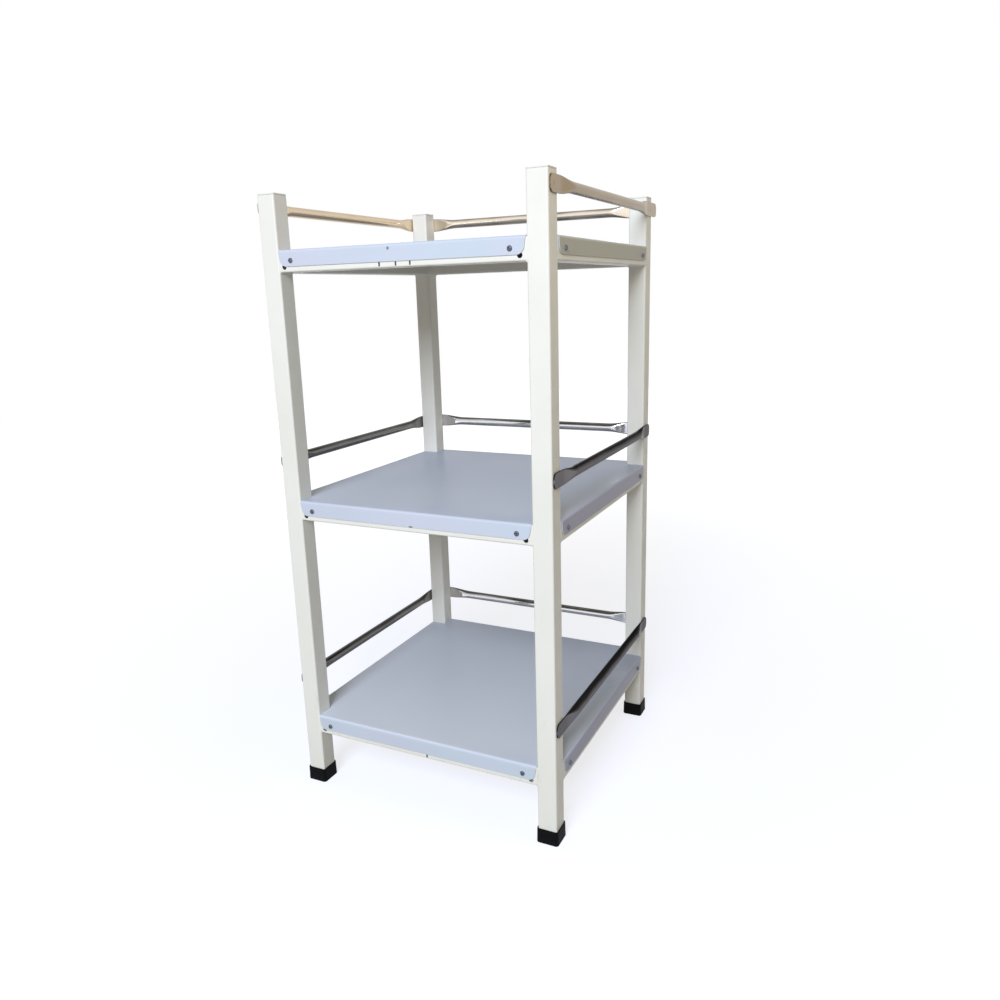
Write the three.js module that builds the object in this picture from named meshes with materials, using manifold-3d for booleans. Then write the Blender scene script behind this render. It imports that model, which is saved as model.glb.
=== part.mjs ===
// Chart rack with three trays: four square-tube posts on rubber shoes, a welded tube frame under
// each folded sheet tray, and polished guard rails on three sides whose ends are pressed flat
// and screwed to the outer faces of the posts. Millimetres, +Z up, front towards -Y.
import * as THREE from 'three';
import { mergeVertices } from 'three/addons/utils/BufferGeometryUtils.js';
import Module from 'manifold-3d';

// Overall size, over the posts
const RACK_WIDTH = 480;
const RACK_DEPTH = 480;

// Heights, stacked from the floor: each shelf height is the top face of its tray
const FLOOR_TO_BOTTOM_TRAY = 132;
const LOWER_BAY = 389;
const UPPER_BAY = 395;
const RAIL_RISE = 63;
const RAIL_TO_POST_TOP = 21;

// Square tube of the posts
const POST_SIZE = 32;
const POST_WALL = 1.6;
const POST_CORNER = 3;

// Tube of the frames under the trays, and the vent holes half hidden by the front flanges
const FRAME_HEIGHT = 32;
const FRAME_DEPTH = 32;
const FRAME_WALL = 1.2;
const FRAME_CORNER = 2.7;
const VENT_RADIUS = 4;
const VENT_INSET = 10;
const VENT_BELOW_FLANGE = 0.5;

// Folded sheet of the trays
const SHEET = 1.2;
const FLANGE_DROP = 25;
const FLANGE_CORNER = 10;
const FLANGE_TAPER = 4;
const NOTCH_CLEARANCE = 0.5;

// Guard rails: round tube, pressed flat over its ends
const RAIL_DIAMETER = 16;
const RAIL_WALL = 1;
const PRESSED_SLIT = 0.4;
const TAB_INSET = 3;
const TAB_PAST_POST = 2;
const TAB_CORNER = 9;
const PRESS_RUN = 46;
const TOP_RAIL_OVERHANG = 20;

// Screws that hold the trays, and the holes for them and for the rails' own screws
const SCREW_INSET = 24;
const SCREW_EDGE = 8.7;
const SCREW_HEAD_RADIUS = 4;
const SCREW_HEAD_CROWN = 2.8;
const SCREW_HEAD_HEIGHT = 2.2;
const SCREW_SHANK_RADIUS = 2.1;
const SCREW_REACH = 6;
const HOLE_CLEARANCE = 0.5;

// Rubber shoes and the plugs in the tops of the posts
const SHOE_HEIGHT = 25;
const SHOE_BASE = 5;
const SHOE_WALL = 1.8;
const SHOE_FLARE = 0.4;
const CAP_HEAD = 2.5;
const CAP_PLUG_DEPTH = 12;

// Clearance between pieces that seat on each other
const SEAT = 0.3;

// Facets
const CORNER_STEPS = 2;
const BEND_STEPS = 3;
const RAIL_SIDES = 12;
const RAIL_BORE_SIDES = 6;
const PRESS_STEPS = 3;
const SCREW_SIDES = 8;

// Heights and offsets that follow
const BOTTOM_TRAY = FLOOR_TO_BOTTOM_TRAY;
const MIDDLE_TRAY = BOTTOM_TRAY + LOWER_BAY;
const TOP_TRAY = MIDDLE_TRAY + UPPER_BAY;
const POST_TOP = TOP_TRAY + RAIL_RISE + RAIL_TO_POST_TOP;
const LEVELS = { bottom: BOTTOM_TRAY, middle: MIDDLE_TRAY, top: TOP_TRAY };
const FRAME_TOP = SHEET + SEAT;
const FLANGE_FACE = SEAT + SHEET;
const BEND_RADIUS = FRAME_CORNER + SEAT + SHEET;
const SCREW_DROP = Math.min(FLANGE_DROP, FRAME_TOP + FRAME_HEIGHT) - SCREW_EDGE;
const HOLE_RADIUS = SCREW_SHANK_RADIUS + HOLE_CLEARANCE;
const VENT_DROP = FLANGE_DROP + VENT_BELOW_FLANGE;

// Obround section of a pressed rail: the wall keeps its length along the middle of the sheet
const RAIL_MIDDLE_RADIUS = (RAIL_DIAMETER - RAIL_WALL) / 2;
const PRESSED_MIDDLE_RADIUS = (RAIL_WALL + PRESSED_SLIT) / 2;
const TAB_THICKNESS = 2 * RAIL_WALL + PRESSED_SLIT;
const TAB_HEIGHT = pressedSection(1).straight + TAB_THICKNESS;

// The four sides of the rack, each built facing the front and turned into place.
// ends names what lies at -X and +X before the turn.
const SIDES = [
  { name: 'front', quarter: 0, ends: ['left', 'right'] },
  { name: 'right', quarter: 1, ends: ['front', 'rear'] },
  { name: 'rear', quarter: 2, ends: ['right', 'left'] },
  { name: 'left', quarter: 3, ends: ['rear', 'front'] },
].map(sizedSide);

const CORNERS = [
  { name: 'front_left', x: -1, y: -1, railSides: ['left'] },
  { name: 'front_right', x: 1, y: -1, railSides: ['right'] },
  { name: 'rear_left', x: -1, y: 1, railSides: ['left', 'rear'] },
  { name: 'rear_right', x: 1, y: 1, railSides: ['right', 'rear'] },
];

const finish = (color, roughness, metalness) =>
  new THREE.MeshStandardMaterial({ color, roughness, metalness });
const CREAM_PAINT = finish(0xf0efe6, 0.42, 0);
const TRAY_SHEET = finish(0xaab5c6, 0.35, 0.25);
const POLISHED_STEEL = finish(0xc9c5bd, 0.12, 1);
const SCREW_STEEL = finish(0x8f9296, 0.35, 1);
const BLACK_RUBBER = finish(0x161616, 0.75, 0);
const CREAM_PLASTIC = finish(0xecebe2, 0.5, 0);

const wasm = await Module();
wasm.setup();

// A closed geometry as a solid that can be joined and cut
function solid(geometry) {
  const bare = geometry.clone();
  bare.deleteAttribute('normal');
  bare.deleteAttribute('uv');
  const welded = mergeVertices(bare);
  const mesh = new wasm.Mesh({
    numProp: 3,
    vertProperties: new Float32Array(welded.attributes.position.array),
    triVerts: new Uint32Array(welded.index.array),
  });
  return new wasm.Manifold(mesh);
}

function geometryOf(body) {
  const mesh = body.getMesh();
  const geometry = new THREE.BufferGeometry();
  geometry.setAttribute('position', new THREE.BufferAttribute(mesh.vertProperties, 3));
  geometry.setIndex(new THREE.BufferAttribute(mesh.triVerts, 1));
  geometry.computeVertexNormals();
  return geometry;
}

function named(name, geometry, material) {
  const mesh = new THREE.Mesh(geometry, material);
  mesh.name = name;
  return mesh;
}

// A rectangle about the origin with round corners, as a Shape or a Path
function roundedRectangle(Outline, width, height, radius) {
  const x = width / 2 - radius;
  const y = height / 2 - radius;
  const outline = new Outline();
  outline.absarc(x, -y, radius, -Math.PI / 2, 0);
  outline.absarc(x, y, radius, 0, Math.PI / 2);
  outline.absarc(-x, y, radius, Math.PI / 2, Math.PI);
  outline.absarc(-x, -y, radius, Math.PI, Math.PI * 1.5);
  outline.closePath();
  return outline;
}

function roundedBar(width, height, radius, length) {
  const section = roundedRectangle(THREE.Shape, width, height, radius);
  return new THREE.ExtrudeGeometry(section, {
    depth: length, bevelEnabled: false, curveSegments: CORNER_STEPS,
  });
}

// Inside corner of a tube: the outside one less the wall, and never quite sharp
function boreCorner(corner, wall) {
  return Math.max(corner - wall, SEAT);
}

// A length of square or rectangular tube standing on the origin along +Z
function squareTube(width, height, wall, corner, length) {
  const section = roundedRectangle(THREE.Shape, width, height, corner);
  const boreWidth = width - 2 * wall;
  const boreHeight = height - 2 * wall;
  section.holes.push(roundedRectangle(THREE.Path, boreWidth, boreHeight, boreCorner(corner, wall)));
  return new THREE.ExtrudeGeometry(section, {
    depth: length, bevelEnabled: false, curveSegments: CORNER_STEPS,
  });
}

// A drill along Y, centred on a wall at y and long enough to pass through that wall alone
function drill(x, y, z, wall, radius = HOLE_RADIUS) {
  const bit = new THREE.CylinderGeometry(radius, radius, 3 * wall, SCREW_SIDES);
  bit.translate(x, y, z);
  return bit;
}

// A side's length over the posts, how far out it faces, and where its frame tube stops:
// the tubes of the left and right sides also clear the front and rear ones
function sizedSide(side) {
  const across = side.quarter % 2 === 0;
  return {
    ...side,
    turn: side.quarter * Math.PI / 2,
    span: across ? RACK_WIDTH : RACK_DEPTH,
    reach: (across ? RACK_DEPTH : RACK_WIDTH) / 2,
    stop: across ? POST_SIZE : Math.max(POST_SIZE, FRAME_DEPTH),
  };
}

// Two places along a side, each set in by so much from its post
function besidePosts(span, inset) {
  const place = span / 2 - POST_SIZE - inset;
  return [-place, place];
}

// Half thickness and straight part of a rail's section, from round (press 0) to flat (press 1)
function pressedSection(press) {
  const radius = THREE.MathUtils.lerp(RAIL_MIDDLE_RADIUS, PRESSED_MIDDLE_RADIUS, press);
  const straight = Math.PI * (RAIL_MIDDLE_RADIUS - radius);
  return { radius, straight };
}

// Stations along a rail from one tip to the other, with how far the tube is pressed at each
function railStations(firstTip, lastTip, span, pastTip) {
  const flatEnd = span / 2 - POST_SIZE - TAB_PAST_POST;
  const half = [];
  for (let step = 0; step <= PRESS_STEPS; step += 1) {
    const share = step / PRESS_STEPS;
    const press = 1 - THREE.MathUtils.smoothstep(share, 0, 1);
    half.push({ x: flatEnd - share * PRESS_RUN, press });
  }
  const mirrored = half.map(({ x, press }) => ({ x: -x, press })).reverse();
  return [
    { x: lastTip + pastTip, press: 1 },
    ...half,
    ...mirrored,
    { x: firstTip - pastTip, press: 1 },
  ];
}

// A cylinder along X whose rings are pressed to the obround of each station
function pressedTube(stations, wallOffset, sides) {
  const rows = stations.length - 1;
  const tube = new THREE.CylinderGeometry(1, 1, 1, sides, rows);
  const place = tube.attributes.position;
  const onAxis = 1e-6;
  for (let i = 0; i < place.count; i += 1) {
    const station = stations[Math.round((0.5 - place.getY(i)) * rows)];
    const { radius, straight } = pressedSection(station.press);
    const up = place.getZ(i);
    const side = Math.abs(up) < onAxis ? 0 : Math.sign(up);
    const outer = radius + wallOffset;
    place.setXYZ(i, station.x, -outer * place.getX(i), outer * up + side * straight / 2);
  }
  return tube;
}

// A guard rail lying along X: pressed tube, open along the slits at its ends, with rounded tabs
function railGeometry(span, firstTip, lastTip) {
  const skin = railStations(firstTip, lastTip, span, 0);
  const bore = railStations(firstTip, lastTip, span, RAIL_WALL);
  const outside = solid(pressedTube(skin, RAIL_WALL / 2, RAIL_SIDES));
  const inside = solid(pressedTube(bore, -RAIL_WALL / 2, RAIL_BORE_SIDES));
  const corner = Math.min(TAB_CORNER, TAB_HEIGHT / 2 - SEAT);
  const outline = roundedBar(lastTip - firstTip, TAB_HEIGHT, corner, 2 * RAIL_DIAMETER);
  outline.translate(0, 0, -RAIL_DIAMETER);
  outline.rotateX(Math.PI / 2);
  outline.translate((firstTip + lastTip) / 2, 0, 0);
  let rail = outside.subtract(inside).intersect(solid(outline));
  const hole = span / 2 - POST_SIZE / 2;
  for (const x of [-hole, hole]) {
    rail = rail.subtract(solid(drill(x, 0, 0, TAB_THICKNESS)));
  }
  return geometryOf(rail);
}

// A frame tube lying along X with its top at z = 0, drilled through its outer wall for the screws
// and, on the front, for the vents
function frameGeometry({ name, span, stop }) {
  const length = span - 2 * stop - 2 * SEAT;
  const tube = squareTube(FRAME_HEIGHT, FRAME_DEPTH, FRAME_WALL, FRAME_CORNER, length);
  tube.translate(FRAME_HEIGHT / 2, 0, -length / 2);
  tube.rotateY(Math.PI / 2);
  let body = solid(tube);
  const outerWall = -FRAME_DEPTH / 2;
  for (const x of besidePosts(span, SCREW_INSET)) {
    body = body.subtract(solid(drill(x, outerWall, FRAME_TOP - SCREW_DROP, FRAME_WALL)));
  }
  if (name === 'front') {
    for (const x of besidePosts(span, VENT_INSET)) {
      body = body.subtract(solid(drill(x, outerWall, FRAME_TOP - VENT_DROP, FRAME_WALL, VENT_RADIUS)));
    }
  }
  return geometryOf(body);
}

// Outline of a flange facing the front: its ends run in towards rounded lower corners
function flangeOutline(half) {
  const corner = Math.min(FLANGE_CORNER, FLANGE_DROP - BEND_RADIUS);
  const slope = Math.atan2(FLANGE_TAPER, FLANGE_DROP);
  const middle = half - (corner + (FLANGE_DROP - corner) * Math.sin(slope)) / Math.cos(slope);
  const outline = new THREE.Shape();
  outline.moveTo(half, 0);
  outline.lineTo(half, SHEET);
  outline.lineTo(-half, SHEET);
  outline.lineTo(-half, 0);
  outline.absarc(-middle, -FLANGE_DROP + corner, corner, Math.PI + slope, Math.PI * 1.5);
  outline.absarc(middle, -FLANGE_DROP + corner, corner, Math.PI * 1.5, Math.PI * 2 - slope);
  outline.closePath();
  return outline;
}

// One flange of a tray, facing the front: the folded strip, cut to its outline
function flangeSolid({ span, reach, turn }) {
  const half = span / 2 - POST_SIZE - NOTCH_CLEARANCE;
  const face = reach + FLANGE_FACE;
  const fold = face - BEND_RADIUS;
  const lap = fold - SHEET;

  const strip = new THREE.Shape();
  strip.moveTo(lap, -SHEET);
  strip.absarc(fold, -BEND_RADIUS, BEND_RADIUS - SHEET, Math.PI / 2, 0, true);
  strip.lineTo(face - SHEET, -FLANGE_DROP);
  strip.lineTo(face, -FLANGE_DROP);
  strip.absarc(fold, -BEND_RADIUS, BEND_RADIUS, 0, Math.PI / 2, false);
  strip.lineTo(lap, 0);
  strip.closePath();
  const folded = new THREE.ExtrudeGeometry(strip, {
    depth: 2 * half, bevelEnabled: false, curveSegments: BEND_STEPS,
  });
  folded.translate(0, 0, -half);
  folded.rotateX(Math.PI / 2);
  folded.rotateZ(-Math.PI / 2);

  const blank = new THREE.ExtrudeGeometry(flangeOutline(half), {
    depth: 4 * BEND_RADIUS, bevelEnabled: false, curveSegments: BEND_STEPS,
  });
  blank.rotateX(Math.PI / 2);
  blank.translate(0, -fold + 2 * BEND_RADIUS, 0);

  folded.rotateZ(turn);
  blank.rotateZ(turn);
  let flange = solid(folded).intersect(solid(blank));
  for (const x of besidePosts(span, SCREW_INSET)) {
    const bit = drill(x, -face + SHEET / 2, -SCREW_DROP, SHEET);
    bit.rotateZ(turn);
    flange = flange.subtract(solid(bit));
  }
  return flange;
}

// A tray with its top face at z = 0: notched plate and four folded flanges
function trayGeometry() {
  const notchX = RACK_WIDTH / 2 - POST_SIZE - NOTCH_CLEARANCE;
  const notchY = RACK_DEPTH / 2 - POST_SIZE - NOTCH_CLEARANCE;
  const foldX = RACK_WIDTH / 2 + FLANGE_FACE - BEND_RADIUS;
  const foldY = RACK_DEPTH / 2 + FLANGE_FACE - BEND_RADIUS;
  const plate = new THREE.Shape();
  plate.moveTo(-notchX, -foldY);
  plate.lineTo(notchX, -foldY);
  plate.lineTo(notchX, -notchY);
  plate.lineTo(foldX, -notchY);
  plate.lineTo(foldX, notchY);
  plate.lineTo(notchX, notchY);
  plate.lineTo(notchX, foldY);
  plate.lineTo(-notchX, foldY);
  plate.lineTo(-notchX, notchY);
  plate.lineTo(-foldX, notchY);
  plate.lineTo(-foldX, -notchY);
  plate.lineTo(-notchX, -notchY);
  plate.closePath();
  const sheet = new THREE.ExtrudeGeometry(plate, { depth: SHEET, bevelEnabled: false });
  sheet.translate(0, 0, -SHEET);
  let tray = solid(sheet);
  for (const side of SIDES) {
    tray = tray.add(flangeSolid(side));
  }
  return geometryOf(tray);
}

// A post, drilled on its outer faces where the rails are screwed on
function postGeometry(railSides) {
  const foot = SHOE_BASE + SEAT;
  const length = POST_TOP - CAP_HEAD - SEAT - foot;
  const tube = squareTube(POST_SIZE, POST_SIZE, POST_WALL, POST_CORNER, length);
  tube.translate(0, 0, foot);
  let post = solid(tube);
  for (const { name, turn } of SIDES) {
    for (const level of Object.values(LEVELS)) {
      if (railSides.includes(name)) {
        const bit = drill(0, -POST_SIZE / 2, level + RAIL_RISE, POST_WALL);
        bit.rotateZ(turn);
        post = post.subtract(solid(bit));
      }
    }
  }
  return geometryOf(post);
}

// A push-on shoe: a cup round the foot of a post, spreading a little towards the floor
function shoeGeometry() {
  const socket = POST_SIZE + 2 * SEAT;
  const mouth = socket + 2 * SHOE_WALL;
  const block = roundedBar(mouth, mouth, POST_CORNER + SHOE_WALL, SHOE_HEIGHT);
  const place = block.attributes.position;
  for (let i = 0; i < place.count; i += 1) {
    const spread = 1 + (2 * SHOE_FLARE / mouth) * (1 - place.getZ(i) / SHOE_HEIGHT);
    place.setX(i, place.getX(i) * spread);
    place.setY(i, place.getY(i) * spread);
  }
  const pocket = roundedBar(socket, socket, POST_CORNER, SHOE_HEIGHT);
  pocket.translate(0, 0, SHOE_BASE);
  return geometryOf(solid(block).subtract(solid(pocket)));
}

// A plug for the top of a post: a flat head on the tube's end and a stem inside it
function capGeometry() {
  const stem = POST_SIZE - 2 * POST_WALL - 2 * SEAT;
  const head = roundedBar(POST_SIZE, POST_SIZE, POST_CORNER, CAP_HEAD);
  head.translate(0, 0, POST_TOP - CAP_HEAD);
  const plug = roundedBar(stem, stem, boreCorner(POST_CORNER, POST_WALL), CAP_PLUG_DEPTH + CAP_HEAD / 2);
  plug.translate(0, 0, POST_TOP - CAP_HEAD - CAP_PLUG_DEPTH);
  return geometryOf(solid(head).add(solid(plug)));
}

// A pan-head screw along Y, head towards -Y with its underside at y = 0
function screwGeometry() {
  const shank = SEAT + SHEET + SEAT + FRAME_WALL + SCREW_REACH;
  const profile = [
    new THREE.Vector2(0, -SCREW_HEAD_HEIGHT),
    new THREE.Vector2(SCREW_HEAD_CROWN, -SCREW_HEAD_HEIGHT),
    new THREE.Vector2(SCREW_HEAD_RADIUS, 0),
    new THREE.Vector2(SCREW_SHANK_RADIUS, 0),
    new THREE.Vector2(SCREW_SHANK_RADIUS, shank - SCREW_SHANK_RADIUS),
    new THREE.Vector2(0, shank),
  ];
  return new THREE.LatheGeometry(profile, SCREW_SIDES);
}

// Tips of a rail along its side; the side rails of the top tray run on past the rear posts
function railTips({ span, ends }, levelName) {
  const tip = span / 2 - TAB_INSET;
  return ends.map((end, i) => {
    const overhang = end === 'rear' && levelName === 'top' ? TOP_RAIL_OVERHANG + TAB_INSET : 0;
    return (i === 0 ? -1 : 1) * (tip + overhang);
  });
}

// What one side of the rack holds at one level: frame tube, tray screws and guard rail
function sideGroup(side, levelName, screw) {
  const { name, turn, span, reach, ends } = side;
  const group = new THREE.Group();
  group.rotation.z = turn;
  group.position.z = LEVELS[levelName];

  const frame = named(`frame_${levelName}_${name}`, frameGeometry(side), CREAM_PAINT);
  frame.position.set(0, -reach + FRAME_DEPTH / 2, -FRAME_TOP);
  group.add(frame);

  besidePosts(span, SCREW_INSET).forEach((x, i) => {
    const piece = named(`screw_${levelName}_${name}_${ends[i]}`, screw, SCREW_STEEL);
    piece.position.set(x, -reach - FLANGE_FACE - SEAT, -SCREW_DROP);
    group.add(piece);
  });

  if (name !== 'front') {
    const [firstTip, lastTip] = railTips(side, levelName);
    const rail = named(`rail_${levelName}_${name}`, railGeometry(span, firstTip, lastTip), POLISHED_STEEL);
    rail.position.set(0, -reach - SEAT - TAB_THICKNESS / 2, RAIL_RISE);
    group.add(rail);
  }
  return group;
}

function cornerGroup({ name, x, y, railSides }, shoe, cap) {
  const group = new THREE.Group();
  group.position.x = x * (RACK_WIDTH - POST_SIZE) / 2;
  group.position.y = y * (RACK_DEPTH - POST_SIZE) / 2;
  group.add(named(`post_${name}`, postGeometry(railSides), CREAM_PAINT));
  group.add(named(`shoe_${name}`, shoe, BLACK_RUBBER));
  group.add(named(`post_cap_${name}`, cap, CREAM_PLASTIC));
  return group;
}

function buildRack() {
  const rack = new THREE.Group();
  const shoe = shoeGeometry();
  const cap = capGeometry();
  for (const corner of CORNERS) {
    rack.add(cornerGroup(corner, shoe, cap));
  }
  const tray = trayGeometry();
  const screw = screwGeometry();
  for (const [levelName, level] of Object.entries(LEVELS)) {
    const shelf = named(`tray_${levelName}`, tray, TRAY_SHEET);
    shelf.position.z = level;
    rack.add(shelf);
    for (const side of SIDES) {
      rack.add(sideGroup(side, levelName, screw));
    }
  }
  // The origin is on the floor, in the middle of the whole outline
  const middle = new THREE.Box3().setFromObject(rack).getCenter(new THREE.Vector3());
  rack.position.set(-middle.x, -middle.y, 0);
  return rack;
}

export default buildRack();
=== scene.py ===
"""Looks of a three-tray chart rack: powder-coated square tube, folded trays under a bluish film,
polished guard rails with pressed ends, pan-head screws and rubber shoes. Metres, +Z up, front at -Y."""
import math

import bmesh
import bpy
import numpy as np
from mathutils import Matrix, Vector


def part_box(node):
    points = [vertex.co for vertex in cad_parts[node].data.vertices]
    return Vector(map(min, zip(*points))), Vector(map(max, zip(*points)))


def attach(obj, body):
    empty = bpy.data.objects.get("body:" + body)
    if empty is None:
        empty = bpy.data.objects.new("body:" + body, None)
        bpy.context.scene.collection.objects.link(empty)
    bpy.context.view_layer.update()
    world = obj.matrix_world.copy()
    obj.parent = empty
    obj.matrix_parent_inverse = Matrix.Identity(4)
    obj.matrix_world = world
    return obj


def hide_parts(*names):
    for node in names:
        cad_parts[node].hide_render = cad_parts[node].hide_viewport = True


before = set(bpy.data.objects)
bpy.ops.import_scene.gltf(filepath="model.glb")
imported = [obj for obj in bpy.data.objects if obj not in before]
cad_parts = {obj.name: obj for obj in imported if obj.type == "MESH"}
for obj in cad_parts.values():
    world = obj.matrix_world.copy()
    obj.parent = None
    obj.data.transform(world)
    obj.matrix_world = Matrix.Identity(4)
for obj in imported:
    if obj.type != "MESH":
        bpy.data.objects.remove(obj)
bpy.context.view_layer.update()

MM = 0.001
UP = np.array([0.0, 0.0, 1.0])
OUTWARD = {
    "front": np.array([0.0, -1.0, 0.0]),
    "right": np.array([1.0, 0.0, 0.0]),
    "rear": np.array([0.0, 1.0, 0.0]),
    "left": np.array([-1.0, 0.0, 0.0]),
}
LEVELS = ("bottom", "middle", "top")
CORNERS = ("front_left", "front_right", "rear_left", "rear_right")
RAILED_SIDES = ("right", "rear", "left")

# Square tube
POST_CORNER = 3 * MM
POST_WALL = 1.6 * MM
FRAME_CORNER = 2.7 * MM
FRAME_WALL = 1.2 * MM
TUBE_CHAMFER = 0.3 * MM
LEAST_CORNER = 0.3 * MM

# Rubber shoes and post plugs
SHOE_CORNER = 4.8 * MM
SHOE_GROOVES = (5 * MM, 9 * MM)
PLUG_HEAD = 2.5 * MM
PLUG_STEM_STEP = 1.9 * MM

# Vent holes in the front tubes, from the post and from the tube's lower face
VENT_RADIUS = 4 * MM
VENT_INSET = 9.7 * MM
VENT_RISE = 8 * MM

# Weld beads between tubes and posts
BEAD_RADIUS = 1.8 * MM
BEAD_RIPPLE = 0.22 * MM
BEAD_PITCH = 3.2 * MM
BEAD_GROUND = 0.92
BEAD_STEPS = 240
BEAD_SIDES = 10

# Folded trays
SHEET = 1.2 * MM
SHEET_EDGE = 0.25 * MM
BEND_RADIUS = 4.2 * MM
FLANGE_CORNER = 10 * MM
FLANGE_TAPER = 4 * MM
NOTCH_CLEARANCE = 0.5 * MM
SHEET_SAG = 0.7 * MM
SHEET_WAVE = 0.12 * MM
TRAY_COLUMNS = 48

# Guard rails
RAIL_RADIUS = 8 * MM
RAIL_WALL = 1 * MM
PRESSED_SLIT = 0.4 * MM
TAB_CORNER = 9 * MM
TAB_PAST_POST = 2 * MM
PRESS_RUN = 46 * MM
TAB_THICKNESS = 2 * RAIL_WALL + PRESSED_SLIT
RAIL_SIDES = 44

# Pan-head screws
HEAD_RADIUS = 4 * MM
HEAD_HEIGHT = 2.2 * MM
SHANK_RADIUS = 2.1 * MM
SHANK_LENGTH = 8 * MM
RECESS_REACH = 2.1 * MM
RECESS_WIDTH = 0.55 * MM
RECESS_DEPTH = 1.3 * MM
SCREW_SIDES = 48

# Rivets of the rails
RIVET_RADIUS = 3.2 * MM
RIVET_RISE = 0.4 * MM
RIVET_SIDES = 32

# Marks on the front tubes and flanges: thickness, places from the rack's middle, and sizes
MARK_THICKNESS = 0.06 * MM
STROKE_RISE = 5.6 * MM
STROKE_LENGTH = 7.4 * MM
STROKES = {
    "frame_top_front": [(-25 * MM, 2.9 * MM), (3 * MM, 2.7 * MM), (27 * MM, 2.7 * MM)],
    "frame_bottom_front": [(10 * MM, 2.8 * MM)],
}
NICK_SHIFT = 4 * MM
NICK_RISE = 1.2 * MM
NICK_SIZE = (7 * MM, 1.8 * MM)
SPOT_SHIFT = -8 * MM
SPOT_DROP = 6.5 * MM
SPOT_RADIUS = 2.2 * MM
SPOT_LENGTH = 0.5 * MM

# Shading: angle in degrees up to which faces run on smoothly, and distance below which points are one
CREASE = 40
SAME_POINT = 0.001 * MM

# Colours, as linear red, green, blue and a full alpha
PAINT_DEEP = (0.855, 0.835, 0.785, 1)
PAINT_PALE = (0.885, 0.868, 0.82, 1)
PAINT_DUST = (0.50, 0.47, 0.41, 1)
FILM_LILAC = (0.655, 0.675, 0.815, 1)
FILM_BLUE = (0.615, 0.692, 0.81, 1)
FILM_BAND = (0.49, 0.53, 0.64, 1)
# Painted light and shade on the trays' upper faces: paler at the bottom tray, painted shade above and
# toward the rear right
BOTTOM_TREAD_PAINTED_LIGHT = (0.76, 0.81, 0.95, 1)
UPPER_TREAD_PAINTED_SHADE = (0.54, 0.60, 0.76, 1)
REAR_TREAD_PAINTED_SHADE = (0.40, 0.455, 0.60, 1)
# Painted shade on the right flanges, with painted warm light at the top tray
LOW_RIGHT_FLANGE_PAINTED_SHADE = (0.49, 0.50, 0.68, 1)
TOP_RIGHT_FLANGE_PAINTED_WARM_SHADE = (0.54, 0.535, 0.48, 1)
UNDERSIDE = (0.66, 0.63, 0.56, 1)
PLATING_DARK = (0.10, 0.11, 0.13, 1)
PLATING_RUBBED = (0.22, 0.23, 0.25, 1)
RUBBER_BLACK = (0.003, 0.003, 0.003, 1)
RUBBER_DUST = (0.03, 0.029, 0.027, 1)
PLASTIC_DEEP = (0.80, 0.79, 0.73, 1)
PLASTIC_PALE = (0.84, 0.83, 0.78, 1)
PENCIL_DARK = (0.015, 0.015, 0.018, 1)
PENCIL_GREY = (0.06, 0.06, 0.07, 1)
SCUFF_DARK = (0.15, 0.175, 0.23, 1)
SCUFF_PALE = (0.27, 0.30, 0.37, 1)
FLOOR_AS_LIGHT = (0.30, 0.28, 0.22, 1)
FLOOR_SEEN = (0.37, 0.40, 0.58, 1)
FILL_LIGHT = (1.0, 0.92, 0.68, 1)
WHITE = (1, 1, 1, 1)

# Heights between the trays where one tray's painted light and shade give way to the next one's
LOWER_BAY = (0.2, 0.5)
UPPER_BAY = (0.75, 0.85)

# Middle values of the noise that are drawn over a range: a narrow and a broad band
NARROW = (0.35, 0.65)
BROAD = (0.3, 0.7)


# Shapes

def grid_quads(rows, columns, close_rows=False, close_columns=False):
    """Four-sided faces of a grid of points: each place with its neighbours along and across.
    A closed direction runs on from its last line to its first."""
    row = np.arange(rows if close_rows else rows - 1)
    column = np.arange(columns if close_columns else columns - 1)
    r, c = np.meshgrid(row, column, indexing="ij")
    r_next = (r + 1) % rows
    c_next = (c + 1) % columns
    corners = [(r, c), (r, c_next), (r_next, c_next), (r_next, c)]
    return np.stack([i * columns + j for i, j in corners], axis=-1).reshape(-1, 4)


def smooth_step(low, high, value):
    """0 below low, 1 above high, and 3t^2 - 2t^3 of the share t between them."""
    t = np.clip((value - low) / (high - low), 0, 1)
    return t * t * (3 - 2 * t)


def rounded_rectangle(width, height, radius, steps=6):
    """Outline round the origin: four quarter circles whose middles lie one radius in from the sides."""
    turn = (np.arange(4)[:, None] + np.linspace(0, 1, steps + 1)) * math.pi / 2
    side_x = np.array([1, -1, -1, 1])[:, None]
    side_y = np.array([1, 1, -1, -1])[:, None]
    x = side_x * (width / 2 - radius) + radius * np.cos(turn)
    y = side_y * (height / 2 - radius) + radius * np.sin(turn)
    return np.stack([x, y], axis=-1).reshape(-1, 2)


def even_outline(outline, count):
    """A closed outline walked at even steps of its length."""
    closed = np.vstack([outline, outline[:1]])
    length = np.concatenate([[0], np.cumsum(np.linalg.norm(np.diff(closed, axis=0), axis=1))])
    walk = np.linspace(0, length[-1], count, endpoint=False)
    return np.stack([np.interp(walk, length, closed[:, k]) for k in (0, 1)], axis=-1), length[-1]


def along_side(side):
    """Direction along a side of the rack, from its left end to its right end seen from outside."""
    return np.cross(UP, OUTWARD[side])


def side_points(side, along, outward, height):
    """Places given along a side, outward from the rack's middle and up, in the rack's frame."""
    level = along[..., None] * along_side(side) + outward[..., None] * OUTWARD[side]
    return level + height[..., None] * UP


def node_box(node):
    """Lowest and highest corner of a node, as arrays."""
    low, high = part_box(node)
    return np.array(low), np.array(high)


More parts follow.
